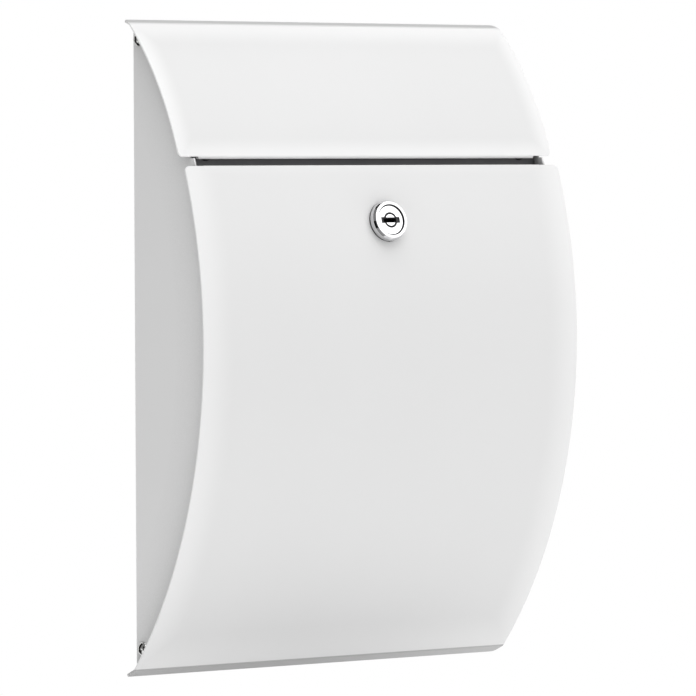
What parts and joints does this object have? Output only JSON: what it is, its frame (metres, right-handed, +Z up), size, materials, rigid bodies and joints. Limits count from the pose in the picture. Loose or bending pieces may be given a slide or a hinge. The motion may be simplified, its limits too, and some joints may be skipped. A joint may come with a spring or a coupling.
{
  "type": "wall mailbox",
  "caption": "Wall mailbox of folded white sheet steel: curved lift-up letter flap above a slit, curved drop-down door with a cam lock, and a back panel with dished feet for wall screws.",
  "frame": {"origin": "on the wall plane, at the centre of the four fixing holes", "axes": "+X to the right seen from the front, +Y into the wall, +Z up"},
  "size_m": [0.26, 0.0915, 0.3726],
  "materials": {
    "white_powder_coat": "satin powder coat with fine orange peel",
    "grey_primer": "matt grey primer",
    "polished_chrome": "polished chrome plate",
    "nickel_rivet": "nickel plated",
    "zinc_plated_steel": "bright zinc plate",
    "nylon_washer": "natural nylon",
    "black_rubber": "matt rubber"
  },
  "bodies": {
    "body": {"body_shell": "white_powder_coat", "slot_crossbar": "grey_primer", "flap_bumper_left": "black_rubber", "flap_bumper_right": "black_rubber", "flap_pivot_rivet_left": "nickel_rivet", "flap_pivot_rivet_right": "nickel_rivet", "flap_pivot_washer_left": "nylon_washer", "flap_pivot_washer_right": "nylon_washer", "door_pivot_rivet_left": "nickel_rivet", "door_pivot_rivet_right": "nickel_rivet", "door_pivot_washer_left": "nylon_washer", "door_pivot_washer_right": "nylon_washer"},
    "flap": {"insert_flap": "white_powder_coat", "flap_bracket_left": "zinc_plated_steel", "flap_bracket_right": "zinc_plated_steel"},
    "door": {"door_panel": "white_powder_coat", "door_bracket_left": "zinc_plated_steel", "door_bracket_right": "zinc_plated_steel", "lock_housing": "polished_chrome", "lock_nut": "zinc_plated_steel"},
    "lock_cylinder": {"lock_plug": "polished_chrome", "lock_cam": "zinc_plated_steel", "cam_washer": "zinc_plated_steel", "cam_screw": "zinc_plated_steel"}
  },
  "joints": [
    {"name": "flap_hinge", "type": "hinge", "parent": "body", "child": "flap", "pos_m": [0, -0.0134, 0.1747], "axis": [-1, 0, 0], "range_deg": [0, 60]},
    {"name": "door_hinge", "type": "hinge", "parent": "body", "child": "door", "pos_m": [0, -0.0146, -0.171], "axis": [1, 0, 0], "range_deg": [0, 40]},
    {"name": "lock_turn", "type": "hinge", "parent": "door", "child": "lock_cylinder", "pos_m": [0, -0.08313, 0.0707], "axis": [0, -0.9695, 0.2449], "range_deg": [0, 90]}
  ]
}
